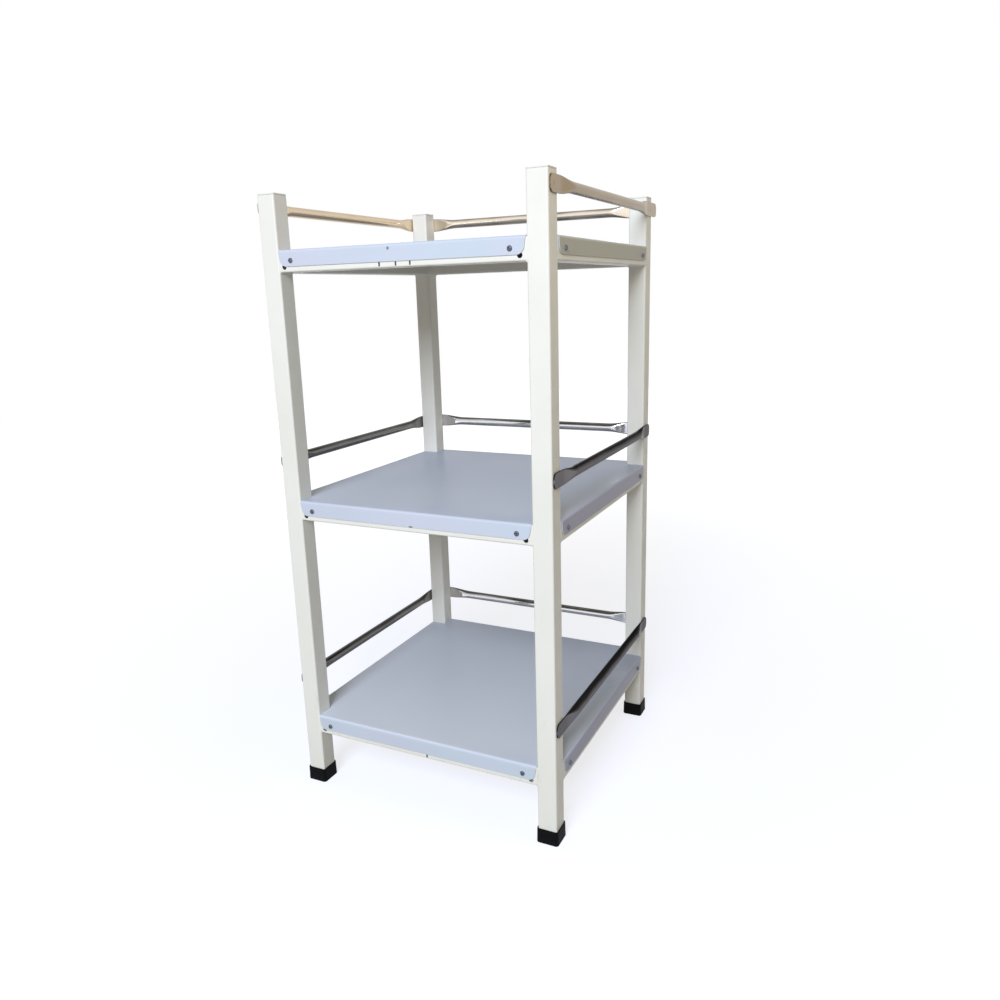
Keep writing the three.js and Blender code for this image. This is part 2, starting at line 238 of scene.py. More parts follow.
def make_piece(name, points, faces, material, slot, nodes=(), crease=CREASE, vectors=None):
    """A mesh with its place in its points, closed poles, outward faces and soft shading up to the
    crease angle, riding on the rack. vectors is an attribute that a material may follow."""
    mesh = bpy.data.meshes.new(name)
    mesh.from_pydata(np.reshape(points, (-1, 3)).tolist(), [], np.asarray(faces).tolist())
    if vectors is not None:
        drawn = mesh.attributes.new("drawn", "FLOAT_VECTOR", "POINT")
        drawn.data.foreach_set("vector", np.reshape(vectors, -1).astype(np.float32))
    shape = bmesh.new()
    shape.from_mesh(mesh)
    bmesh.ops.remove_doubles(shape, verts=shape.verts, dist=SAME_POINT)
    if shape.calc_volume(signed=True) < 0:
        bmesh.ops.reverse_faces(shape, faces=shape.faces)
    shape.to_mesh(mesh)
    shape.free()
    mesh.shade_smooth()
    mesh.set_sharp_from_angle(angle=math.radians(crease))
    piece = bpy.data.objects.new(name, mesh)
    bpy.context.scene.collection.objects.link(piece)
    mesh.materials.append(material)
    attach(piece, "root")
    if nodes:
        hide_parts(*nodes)
    return piece


def even_shading(piece):
    """Large flat faces keep their own direction beside rounded edges."""
    modifier = piece.modifiers.new("even_shading", "WEIGHTED_NORMAL")
    modifier.keep_sharp = True


def joined(parts):
    """Points and faces of several shapes as one list, the face numbers moved on past earlier points."""
    points = [np.reshape(p, (-1, 3)) for p, _ in parts]
    starts = np.cumsum([0] + [len(p) for p in points[:-1]])
    faces = [np.asarray(quads) + start for (_, quads), start in zip(parts, starts)]
    return np.vstack(points), np.vstack(faces)


def square_tube(low, high, axis, corner, wall):
    """Tube along one axis of its box: the outside outline carried from end to end with a small chamfer,
    then the bore's outline carried back, so that both walls close on each other."""
    across = [(axis + 1) % 3, (axis + 2) % 3]
    middle = (low + high) / 2
    width, height = (high - low)[across]
    first, last = low[axis], high[axis]
    insets = [TUBE_CHAMFER, 0, 0, TUBE_CHAMFER, wall, wall]
    places = [first, first + TUBE_CHAMFER, last - TUBE_CHAMFER, last, last, first]
    rings = []
    for inset, place in zip(insets, places):
        radius = max(corner - inset, LEAST_CORNER)
        outline = rounded_rectangle(width - 2 * inset, height - 2 * inset, radius)
        ring = np.empty((len(outline), 3))
        ring[:, across] = middle[across] + outline
        ring[:, axis] = place
        rings.append(ring)
    points = np.stack(rings)
    return points, grid_quads(len(rings), points.shape[1], True, True)


def ring_stack(middle, sizes, heights, corners):
    """Rounded squares stacked on one another: a size, height and corner radius for each ring.
    A size of nothing closes the stack at its middle."""
    rings = []
    for size, height, corner in zip(sizes, heights, corners):
        radius = min(corner, size / 2)
        outline = rounded_rectangle(size, size, radius)
        rings.append(np.column_stack([outline + middle[:2], np.full(len(outline), height)]))
    points = np.stack(rings)
    return points, grid_quads(len(rings), points.shape[1], False, True)


def round_bar(place, direction, radius, length, sides=32):
    """Solid level round bar through a place: two rings along the direction, closed by their middles."""
    side = np.cross(direction, UP)
    other = np.cross(direction, side)
    turn = np.linspace(0, 2 * math.pi, sides, endpoint=False)
    ring = np.cos(turn)[:, None] * side + np.sin(turn)[:, None] * other
    radii = np.array([0, radius, radius, 0])[:, None, None]
    ends = np.array([-0.5, -0.5, 0.5, 0.5])[:, None, None] * length * direction
    return place + radii * ring + ends, grid_quads(4, sides, False, True)


# Materials

def new_material(name):
    """A material with its shader and node tree."""
    material = bpy.data.materials.new(name)
    material.use_nodes = True
    return material, material.node_tree, material.node_tree.nodes["Principled BSDF"]


def feed(tree, node, inputs):
    """Sets a node's inputs, given as values or as other nodes' outputs."""
    for socket, value in inputs.items():
        if isinstance(value, bpy.types.NodeSocket):
            tree.links.new(value, node.inputs[socket])
        else:
            node.inputs[socket].default_value = value


def add_node(tree, kind, inputs=None, **settings):
    """A node with its settings and inputs."""
    made = tree.nodes.new(kind)
    for key, value in settings.items():
        setattr(made, key, value)
    feed(tree, made, inputs or {})
    return made


def object_place(tree, stretch=(1, 1, 1)):
    """Object coordinates, drawn out by a scale for each axis."""
    place = add_node(tree, "ShaderNodeTexCoord").outputs["Object"]
    return add_node(tree, "ShaderNodeMapping", {"Vector": place, "Scale": stretch}).outputs["Vector"]


def part_along(tree, vector, axis):
    """The part of a vector along one axis."""
    return add_node(tree, "ShaderNodeSeparateXYZ", {"Vector": vector}).outputs[axis]


def calculate(tree, operation, *values):
    """One step of arithmetic on numbers."""
    return add_node(tree, "ShaderNodeMath", dict(enumerate(values)), operation=operation).outputs[0]


def noise(tree, place, cells, detail=2.0, roughness=0.5):
    """Noise with so many cells to the unit of its place."""
    inputs = {"Vector": place, "Scale": cells, "Detail": detail, "Roughness": roughness}
    return add_node(tree, "ShaderNodeTexNoise", inputs).outputs["Fac"]


def remap(tree, value, source, target):
    """A value drawn from one range over another, and held at its ends."""
    inputs = {"Value": value, "From Min": source[0], "From Max": source[1]}
    inputs.update({"To Min": target[0], "To Max": target[1]})
    return add_node(tree, "ShaderNodeMapRange", inputs).outputs["Result"]


def mix_colours(tree, share, first, second):
    """Two colours mixed by a share. The mixing node has its colours at inputs 6 and 7."""
    return add_node(tree, "ShaderNodeMix", {0: share, 6: first, 7: second}, data_type="RGBA").outputs[2]


def bump(tree, height, strength, distance):
    """Relief of a height over so many metres."""
    inputs = {"Height": height, "Strength": strength, "Distance": distance}
    return add_node(tree, "ShaderNodeBump", inputs).outputs["Normal"]


def powder_coat():
    """Ivory powder coat: orange-peel relief, faint clouds of colour, dust and scuffs near the floor."""
    material, tree, shader = new_material("powder_coat")
    place = object_place(tree)
    clouds = remap(tree, noise(tree, place, cells=7, detail=3), NARROW, (0, 1))
    colour = mix_colours(tree, clouds, PAINT_DEEP, PAINT_PALE)
    low_down = remap(tree, part_along(tree, place, "Z"), (0.02, 0.30), (1, 0))
    scuffs = noise(tree, object_place(tree, stretch=(1, 1, 0.25)), cells=90, detail=6, roughness=0.7)
    dust = calculate(tree, "MULTIPLY", low_down, remap(tree, scuffs, (0.60, 0.72), (0, 0.55)))
    feed(tree, shader, {
        "Base Color": mix_colours(tree, dust, colour, PAINT_DUST),
        "Roughness": remap(tree, noise(tree, place, cells=40), BROAD, (0.32, 0.46)),
        "Normal": bump(tree, noise(tree, place, cells=420, detail=1), strength=0.12, distance=0.15 * MM),
    })
    return material


def tray_film():
    """Steel sheet under a bluish film: soft colour drifts of two sizes and a hazy gloss. The upper faces
    carry
    painted light and shade: paler at the bottom tray and painted shade toward the rear right. The right
    flanges, where the normal points right, carry painted shade, greyer and with painted warm light at the
    top. The underside, where it points down, has no film."""
    material, tree, shader = new_material("tray_film")
    place = object_place(tree)
    height = part_along(tree, place, "Z")
    normal = add_node(tree, "ShaderNodeNewGeometry").outputs["Normal"]
    facing_up = part_along(tree, normal, "Z")
    facing_right = part_along(tree, normal, "X")
    drift = remap(tree, noise(tree, place, cells=5), NARROW, (0, 1))
    bands = remap(tree, noise(tree, object_place(tree, stretch=(0.6, 2, 2)), cells=9), BROAD, (0, 0.16))
    film = mix_colours(tree, bands, mix_colours(tree, drift, FILM_LILAC, FILM_BLUE), FILM_BAND)
    # Painted shade toward the rear right of the upper faces
    rear_right = {0: place, 1: (0.5, 1, 0)}
    way_back = add_node(tree, "ShaderNodeVectorMath", rear_right, operation="DOT_PRODUCT")
    painted_rear_shade = remap(tree, way_back.outputs["Value"], (-0.25, 0.30), (0, 0.9))
    # Painted light and shade by level: paler at the bottom tray, darker higher up
    tread = mix_colours(tree, remap(tree, height, LOWER_BAY, (0, 1)), BOTTOM_TREAD_PAINTED_LIGHT, UPPER_TREAD_PAINTED_SHADE)
    tread_painted_shade = mix_colours(tree, painted_rear_shade, tread, REAR_TREAD_PAINTED_SHADE)
    upper = mix_colours(tree, remap(tree, facing_up, (0.5, 0.9), (0, 0.85)), film, tread_painted_shade)
    # Painted shade on the right flanges, with painted warm light at the top tray
    flange = mix_colours(tree, remap(tree, height, UPPER_BAY, (0, 1)), LOW_RIGHT_FLANGE_PAINTED_SHADE, TOP_RIGHT_FLANGE_PAINTED_WARM_SHADE)
    outside = mix_colours(tree, remap(tree, facing_right, (0.5, 0.8), (0, 1)), upper, flange)
    feed(tree, shader, {
        "Base Color": mix_colours(tree, remap(tree, facing_up, (-0.7, -0.5), (1, 0)), outside, UNDERSIDE),
        "Roughness": remap(tree, noise(tree, place, cells=6, detail=1), (0.2, 0.8), (0.26, 0.36)),
        "Normal": bump(tree, noise(tree, place, cells=18, detail=1), strength=0.08, distance=0.3 * MM),
        "Specular IOR Level": 0.08,
    })
    return material


def polished_tube(name, edge, core, haze, rim=1.0):
    """Polished steel tube: draw lines along its length, and a painted reflection: the sides painted pale
    and the top and bottom painted darker. The drawn attribute holds the cosine and sine round the section
    and the way along. Haze is the mean roughness. A low rim keeps the steel dark where it is seen along
    its face."""
    material, tree, shader = new_material(name)
    drawn = add_node(tree, "ShaderNodeAttribute", attribute_name="drawn").outputs["Vector"]
    from_side = calculate(tree, "ABSOLUTE", part_along(tree, drawn, "Y"))
    clouds = remap(tree, noise(tree, object_place(tree), cells=16, detail=3), BROAD, (-0.12, 0.12))
    # Painted reflection: pale where the section faces sideways, darker at its top and bottom
    painted_reflection_share = remap(tree, calculate(tree, "ADD", from_side, clouds), (0.25, 0.85), (1, 0))
    stretched = add_node(tree, "ShaderNodeMapping", {"Vector": drawn, "Scale": (1, 1, 2)})
    lines = noise(tree, stretched.outputs["Vector"], cells=12, detail=3, roughness=0.6)
    feed(tree, shader, {
        "Base Color": mix_colours(tree, painted_reflection_share, edge, core),
        "Roughness": remap(tree, lines, BROAD, (0.7 * haze, 1.3 * haze)),
        "Normal": bump(tree, lines, strength=0.06, distance=0.05 * MM),
        "Metallic": 1.0,
        "Specular Tint": (rim, rim, rim, 1),
    })
    return material


def screw_plating():
    """Dull dark plating with bright rubs."""
    material, tree, shader = new_material("screw_plating")
    grain = noise(tree, object_place(tree), cells=600, detail=4, roughness=0.6)
    rubs = remap(tree, grain, (0.5, 0.7), (0, 1))
    feed(tree, shader, {
        "Base Color": mix_colours(tree, rubs, PLATING_DARK, PLATING_RUBBED),
        "Roughness": remap(tree, rubs, (0, 1), (0.45, 0.30)),
        "Metallic": 0.9,
    })
    return material


def shoe_rubber():
    """Black rubber with a moulded grain and grey dust where it meets the floor."""
    material, tree, shader = new_material("shoe_rubber")
    place = object_place(tree)
    low_down = remap(tree, part_along(tree, place, "Z"), (0, 0.012), (0.25, 0))
    dust = calculate(tree, "MULTIPLY", low_down, noise(tree, place, cells=260, detail=4))
    feed(tree, shader, {
        "Base Color": mix_colours(tree, dust, RUBBER_BLACK, RUBBER_DUST),
        "Roughness": remap(tree, noise(tree, place, cells=300), BROAD, (0.5, 0.7)),
        "Normal": bump(tree, noise(tree, place, cells=900), strength=0.25, distance=0.2 * MM),
        "Specular IOR Level": 0.06,
    })
    return material


def cap_plastic():
    """Ivory moulded plastic with a fine matt grain."""
    material, tree, shader = new_material("cap_plastic")
    place = object_place(tree)
    share = remap(tree, noise(tree, place, cells=60), BROAD, (0, 1))
    feed(tree, shader, {
        "Base Color": mix_colours(tree, share, PLASTIC_DEEP, PLASTIC_PALE),
        "Roughness": 0.5,
        "Normal": bump(tree, noise(tree, place, cells=1300, detail=1), strength=0.15, distance=0.1 * MM),
    })
    return material


def flecked(name, cells, detail, roughness, first, second):
    """Plain coat in two colours that are broken up by its own grain."""
    material, tree, shader = new_material(name)
    share = remap(tree, noise(tree, object_place(tree), cells, detail), NARROW, (0, 1))
    feed(tree, shader, {"Base Color": mix_colours(tree, share, first, second), "Roughness": roughness})
    return material


PAINT = powder_coat()
FILM = tray_film()
# One polished steel in six copies, each painted with the reflections of its own side and level
LEFT_STEEL_PAINTED_REFLECTION = polished_tube(
    "left_steel_painted_reflection", edge=(0.03, 0.028, 0.026, 1), core=(0.17, 0.162, 0.152, 1), haze=0.13,
)
RIGHT_STEEL_PAINTED_REFLECTION = polished_tube(
    "right_steel_painted_reflection", edge=(0.02, 0.019, 0.019, 1), core=(0.16, 0.152, 0.152, 1), haze=0.12, rim=0.45,
)
REAR_STEEL_PAINTED_REFLECTION = polished_tube(
    "rear_steel_painted_reflection", edge=(0.08, 0.078, 0.078, 1), core=(0.80, 0.78, 0.78, 1), haze=0.08,
)
TOP_LEFT_STEEL_PAINTED_REFLECTION = polished_tube(
    "top_left_steel_painted_reflection", edge=(0.50, 0.39, 0.27, 1), core=(0.70, 0.56, 0.39, 1), haze=0.20,
)
TOP_RIGHT_STEEL_PAINTED_REFLECTION = polished_tube(
    "top_right_steel_painted_reflection", edge=(0.20, 0.15, 0.095, 1), core=(0.31, 0.237, 0.15, 1), haze=0.22,
)
TOP_REAR_STEEL_PAINTED_REFLECTION = polished_tube(
    "top_rear_steel_painted_reflection", edge=(0.16, 0.125, 0.09, 1), core=(0.88, 0.78, 0.66, 1), haze=0.09,
)
PLATING = screw_plating()
RUBBER = shoe_rubber()
PLASTIC = cap_plastic()
PENCIL = flecked("pencil_mark", 1400, 2, 0.7, PENCIL_DARK, PENCIL_GREY)
SCUFF = flecked("scuffed_film", 120, 3, 0.35, SCUFF_DARK, SCUFF_PALE)


# Posts, caps and shoes

def make_posts():
    """Four uprights of square tube."""
    for corner in CORNERS:
        node = f"post_{corner}"
        points, faces = square_tube(*node_box(node), 2, POST_CORNER, POST_WALL)
        even_shading(make_piece(f"upright_{corner}", points, faces, PAINT, "cream_paint", [node]))


def make_caps():
    """Plugs in the tops of the posts: a crowned head with a soft rim, over a stem with a tapered end and
    a groove round it."""
    crown, rim, chamfer = 0.5 * MM, 0.8 * MM, 0.2 * MM
    taper, taper_height = 1 * MM, 1.5 * MM
    groove, groove_low, groove_high, groove_ramp = 0.25 * MM, 3 * MM, 6 * MM, 0.6 * MM
    for corner in CORNERS:
        node = f"post_cap_{corner}"
        low, high = node_box(node)
        width = high[0] - low[0]
        stem = width - 2 * PLUG_STEM_STEP
        foot = low[2]
        top = high[2]
        under = top - PLUG_HEAD
        rows = [
            (0, foot), (stem - 2 * taper, foot), (stem, foot + taper_height), (stem, foot + groove_low),
            (stem - groove, foot + groove_low + groove_ramp), (stem - groove, foot + groove_high),
            (stem, foot + groove_high + groove_ramp), (stem, under),
            (width - chamfer, under), (width, under + chamfer), (width, top - crown - rim),
            (width - 0.25 * rim, top - crown - 0.4 * rim), (width - rim, top - crown),
            (width - 4 * rim, top - 0.7 * crown), (0.45 * width, top - 0.15 * crown), (0, top),
        ]
        sizes, heights = zip(*rows)
        points, faces = ring_stack((low + high) / 2, sizes, heights, [POST_CORNER] * len(rows))
        even_shading(make_piece(f"top_plug_{corner}", points, faces, PLASTIC, "cap_plastic", [node]))


def make_shoes():
    """Push-on rubber cups: a flared wall with two grooves, a rolled lip and a socket for the post."""
    lip, groove, bevel, lean, step = 0.9 * MM, 0.5 * MM, 1.2 * MM, 0.1 * MM, 0.8 * MM
    mouth_inset, socket_play, floor_play = 0.8 * MM, 0.4 * MM, 0.2 * MM
    first, second = SHOE_GROOVES
    for corner in CORNERS:
        node = f"shoe_{corner}"
        low, high = node_box(node)
        post_low, post_high = node_box(f"post_{corner}")
        foot = high[0] - low[0]
        bottom = low[2]
        top = high[2]
        mouth = foot - mouth_inset
        socket = post_high[0] - post_low[0] + socket_play
        floor = post_low[2] - floor_play
        outside = [
            (0, bottom), (foot - 2 * bevel, bottom), (foot - 0.4 * bevel, bottom + 0.4 * bevel),
            (foot, bottom + bevel), (foot - lean, first), (foot - groove, first + step),
            (foot - groove, first + 2 * step), (foot - 2 * lean, first + 3 * step),
            (foot - 3 * lean, second), (foot - groove - 3 * lean, second + step),
            (foot - groove - 3 * lean, second + 2 * step), (foot - 4 * lean, second + 3 * step),
            (mouth, top - lip), (mouth - 0.5 * lip, top - 0.25 * lip),
        ]
        inside = [
            (mouth - 1.4 * lip, top), (socket + 0.4 * lip, top - 0.2 * lip), (socket, top - lip),
            (socket, floor), (0, floor),
        ]
        sizes, heights = zip(*(outside + inside))
        corners = [SHOE_CORNER] * len(outside) + [POST_CORNER] * len(inside)
        points, faces = ring_stack((low + high) / 2, sizes, heights, corners)
        even_shading(make_piece(f"foot_{corner}", points, faces, RUBBER, "shoe_rubber", [node]))


# Frame tubes and their welds

def cut_holes(piece, bars):
    """Takes round bars out of a piece and shades the new edges."""
    points, faces = joined(bars)
    cutter = make_piece(f"{piece.name}_drill", points, faces, PAINT, "cream_paint")
    modifier = piece.modifiers.new("holes", "BOOLEAN")
    modifier.object = cutter
    modifier.solver = "EXACT"
    bpy.context.view_layer.update()
    evaluated = piece.evaluated_get(bpy.context.evaluated_depsgraph_get())
    drilled = bpy.data.meshes.new_from_object(evaluated)
    piece.modifiers.clear()
    piece.data = drilled
    drilled.set_sharp_from_angle(angle=math.radians(CREASE))
    bpy.data.objects.remove(cutter)


def vent_bars(low, high):
    """Bars where the vent holes of a front tube go through its outer wall."""
    length = 4 * FRAME_WALL
    bars = []
    for x in (low[0] + VENT_INSET, high[0] - VENT_INSET):
        place = np.array([x, low[1], low[2] + VENT_RISE])
        bars.append(round_bar(place, OUTWARD["front"], VENT_RADIUS, length))
    return bars


def weld_bead(low, high, axis, end, side):
    """Bead round one end of a tube: a small circle carried round the outline. Its radius ripples as a
    hand weld does, and it sinks until almost flush on the top and outer faces, where it is ground off."""
    sway, sways = 0.8, 3
    across = [(axis + 1) % 3, (axis + 2) % 3]
    middle = (low + high) / 2
    width, height = (high - low)[across]
    outline = rounded_rectangle(width, height, FRAME_CORNER)
    path, length = even_outline(outline, BEAD_STEPS)
    tangent = np.roll(path, -1, axis=0) - np.roll(path, 1, axis=0)
    tangent /= np.linalg.norm(tangent, axis=1)[:, None]
    normal = np.zeros((len(path), 3))
    normal[:, across[0]] = tangent[:, 1]
    normal[:, across[1]] = -tangent[:, 0]
    ground = smooth_step(0.2, 0.9, np.maximum(normal @ OUTWARD[side], normal @ UP))
    ripples = round(length / BEAD_PITCH)
    walk = np.arange(len(path)) / len(path) * 2 * math.pi
    ripple = np.sin(ripples * walk + sway * np.sin(sways * walk))
    radius = BEAD_RADIUS + BEAD_RIPPLE * (1 - ground) * ripple
    turn = np.linspace(0, 2 * math.pi, BEAD_SIDES, endpoint=False)
    centre = np.zeros((len(path), 3))
    centre[:, across] = middle[across] + path
    centre[:, axis] = end
    centre -= (BEAD_GROUND * BEAD_RADIUS * ground)[:, None] * normal
    spokes = np.cos(turn)[:, None] * normal[:, None, :] + np.sin(turn)[:, None] * np.eye(3)[axis]
    points = centre[:, None, :] + radius[:, None, None] * spokes
    return points, grid_quads(len(path), len(turn), True, True)


def make_frames():
    """Frame tubes under the trays with their vents, and the weld beads at both ends of each."""
    for level in LEVELS:
        for side in OUTWARD:
            node = f"frame_{level}_{side}"
            low, high = node_box(node)
            axis = int(np.argmax(high - low))
            points, faces = square_tube(low, high, axis, FRAME_CORNER, FRAME_WALL)
            tube = make_piece(f"cross_tube_{level}_{side}", points, faces, PAINT, "cream_paint", [node])
            if side == "front":
                cut_holes(tube, vent_bars(low, high))
            even_shading(tube)
            beads = [weld_bead(low, high, axis, end, side) for end in (low[axis], high[axis])]
            make_piece(f"welds_{level}_{side}", *joined(beads), PAINT, "cream_paint")


# Trays

def sheet_height(x, y, half_x, half_y):
    """Sag of a sheet held along its edges, deepest in the middle, with slow waves from rolling: two
    slanted sines over the sheet's half widths."""
    u = np.clip(x / half_x, -1, 1)
    v = np.clip(y / half_y, -1, 1)
    held = (1 - u**2) * (1 - v**2)
    waves = np.sin(7 * u + 2 * v + 0.6) + 0.7 * np.sin(9 * v - 3 * u)
    return -held * (SHEET_SAG + SHEET_WAVE * waves)


def flange_rows(start, face, drop, steps=8):
    """Profile of a folded side from the notch line out: flat, quarter-circle bend, then down.
    Gives the way out, the drop, and how far the ends have run in at each row."""
    fold = face - BEND_RADIUS
    flat_rows, wall_rows = 6, 5
    turn = np.linspace(0, math.pi / 2, steps + 1)[1:]
    flat = np.linspace(start, fold, flat_rows)
    wall = np.linspace(BEND_RADIUS, drop - FLANGE_CORNER, wall_rows)[1:]
    rounded = drop - FLANGE_CORNER + FLANGE_CORNER * np.sin(turn)
    out = np.concatenate([flat, fold + BEND_RADIUS * np.sin(turn), np.full(len(wall) + steps, face)])
    down = np.concatenate([0 * flat, BEND_RADIUS * (1 - np.cos(turn)), wall, rounded])
    run_in = FLANGE_TAPER * down / drop
    run_in[-steps:] += FLANGE_CORNER * (1 - np.cos(turn))
    return out, down, run_in


def tray_patch(middle, top, half, x, y, down):
    """Points of a part of the tray's upper face, lowered by the sag of the sheet."""
    height = top - down + sheet_height(x, y, *half)
    return np.stack([x + middle[0], y + middle[1], height], axis=-1)


def make_trays():
    """Folded trays: a square middle and four strips that run out, bend over and drop, made into sheet."""
    low_post, _ = node_box("post_rear_right")
    for level in LEVELS:
        node = f"tray_{level}"
        low, high = node_box(node)
        middle = (low + high) / 2
        face = (high - low)[0] / 2
        drop = high[2] - low[2]
        notch = low_post[0] - NOTCH_CLEARANCE - middle[0]
        half = (face, face)
        share = np.linspace(-1, 1, TRAY_COLUMNS + 1)
        x, y = np.meshgrid(notch * share, notch * share, indexing="xy")
        parts = [(tray_patch(middle, high[2], half, x, y, 0 * x), grid_quads(*x.shape))]
        out, down, run_in = flange_rows(notch, face, drop)
        along = (notch - run_in)[:, None] * share
        for side in OUTWARD:
            plan = side_points(side, along, out[:, None] + 0 * along, 0 * along)
            lowered = down[:, None] + 0 * along
            strip = tray_patch(middle, high[2], half, plan[..., 0], plan[..., 1], lowered)
            parts.append((strip, grid_quads(*along.shape)[:, ::-1]))
        tray = make_piece(f"folded_tray_{level}", *joined(parts), FILM, "tray_sheet", [node], crease=50)
        thicken(tray)


def thicken(tray):
    """Gives the folded surface its sheet thickness, downwards and inwards, with softened edges."""
    normals = np.zeros(len(tray.data.polygons) * 3)
    tray.data.polygons.foreach_get("normal", normals)
    if normals.reshape(-1, 3)[:, 2].sum() < 0:
        tray.data.flip_normals()
    wall = tray.modifiers.new("sheet", "SOLIDIFY")
    wall.thickness = SHEET
    wall.offset = -1
    wall.use_even_offset = True
    edge = tray.modifiers.new("edge", "BEVEL")
    edge.width = SHEET_EDGE
    edge.segments = 2
    edge.limit_method = "ANGLE"
    edge.angle_limit = math.radians(60)
    even_shading(tray)


# Guard rails

def pressed_rail(first, last, flat_from, flat_to):
    """Round tube pressed flat over its ends, along the first axis. The section at each station is an
    obround: two half circles of the pressed radius, parted by a straight that keeps the wall's length.
    Near each tip it is clipped to the tab's rounded outline. The outside runs one way, the bore back."""
    tip_rows, run_rows, round_rows = 10, 17, 14
    tip = TAB_CORNER * (1 - np.cos(np.linspace(0, math.pi / 2, tip_rows)))
    run = np.linspace(0, PRESS_RUN, run_rows)
    stations = np.concatenate([
        first + tip, [(first + flat_from) / 2], flat_from + run,
        np.linspace(flat_from + PRESS_RUN, flat_to - PRESS_RUN, round_rows)[1:-1],
        (flat_to - run)[::-1], [(last + flat_to) / 2], (last - tip)[::-1],
    ])
    inward = np.minimum(stations - flat_from, flat_to - stations)
    press = 1 - smooth_step(0, PRESS_RUN, inward)
    from_tip = np.minimum(stations - first, last - stations)
    round_middle = RAIL_RADIUS - RAIL_WALL / 2
    flat_middle = (RAIL_WALL + PRESSED_SLIT) / 2
    radius = round_middle + (flat_middle - round_middle) * press
    straight = math.pi * (round_middle - radius)
    tab_half = math.pi * (round_middle - flat_middle) / 2 + TAB_THICKNESS / 2
    short = np.clip(TAB_CORNER - from_tip, 0, TAB_CORNER)
    clip = tab_half - TAB_CORNER + np.sqrt(TAB_CORNER**2 - short**2)
    turn = (np.arange(RAIL_SIDES) + 0.5) * 2 * math.pi / RAIL_SIDES

    def wall(offset, margin):
        """One face of the tube wall, offset from its middle and clipped a margin inside the tab."""
        out = (radius + offset)[:, None] * np.cos(turn)
        up = (radius + offset)[:, None] * np.sin(turn) + np.sign(np.sin(turn)) * straight[:, None] / 2
        limit = (clip - margin)[:, None]
        up = np.clip(up, -limit, limit)
        return np.stack([stations[:, None] + 0 * out, out, up], axis=-1)

    outside = wall(RAIL_WALL / 2, 0)
    bore = wall(-RAIL_WALL / 2, RAIL_WALL)[::-1]
    points = np.concatenate([outside, bore])
    round_way = np.stack([np.cos(turn), np.sin(turn)], axis=-1)
    round_ways = np.broadcast_to(round_way, points.shape[:2] + (2,))
    drawn = np.concatenate([round_ways, points[..., :1]], axis=-1)
    return points, grid_quads(*points.shape[:2], True, True), drawn


def rail_frame(level, side):
    """Ends of a rail along its side, its axis outward, its height, and the spans of its two posts."""
    low, high = node_box(f"rail_{level}_{side}")
    way = along_side(side)
    ends = np.sort([low @ way, high @ way])
    outer = max(low @ OUTWARD[side], high @ OUTWARD[side])
    height = (low[2] + high[2]) / 2
    posts = [node_box(f"post_{corner}") for corner in CORNERS if side in corner]
    spans = np.sort([np.sort([a @ way, b @ way]) for a, b in posts], axis=0)
    return ends, outer - RAIL_RADIUS, height, spans


def rail_steel(level, side):
    """Steel of a rail: a copy with its own painted reflection for each side and level, warmer round the
    top tray, and brighter in its middle at the rear.
    """
    if level == "top":
        return {"left": TOP_LEFT_STEEL_PAINTED_REFLECTION, "rear": TOP_REAR_STEEL_PAINTED_REFLECTION, "right": TOP_RIGHT_STEEL_PAINTED_REFLECTION}[side]
    return {"left": LEFT_STEEL_PAINTED_REFLECTION, "rear": REAR_STEEL_PAINTED_REFLECTION, "right": RIGHT_STEEL_PAINTED_REFLECTION}[side]


def make_rails():
    """Guard rails of each tray; those round the top tray carry a warmer painted reflection."""
    for level in LEVELS:
        for side in RAILED_SIDES:
            ends, axis, height, spans = rail_frame(level, side)
            flat_from = spans[0][1] + TAB_PAST_POST
            flat_to = spans[1][0] - TAB_PAST_POST
            local, faces, drawn = pressed_rail(*ends, flat_from, flat_to)
            points = side_points(side, local[..., 0], axis + local[..., 1], height + local[..., 2])
            material = rail_steel(level, side)
            rail = make_piece(
                f"guard_rail_{level}_{side}", points, faces, material, "polished_rail",
                [f"rail_{level}_{side}"], crease=55, vectors=drawn,
            )
            even_shading(rail)


# Screws

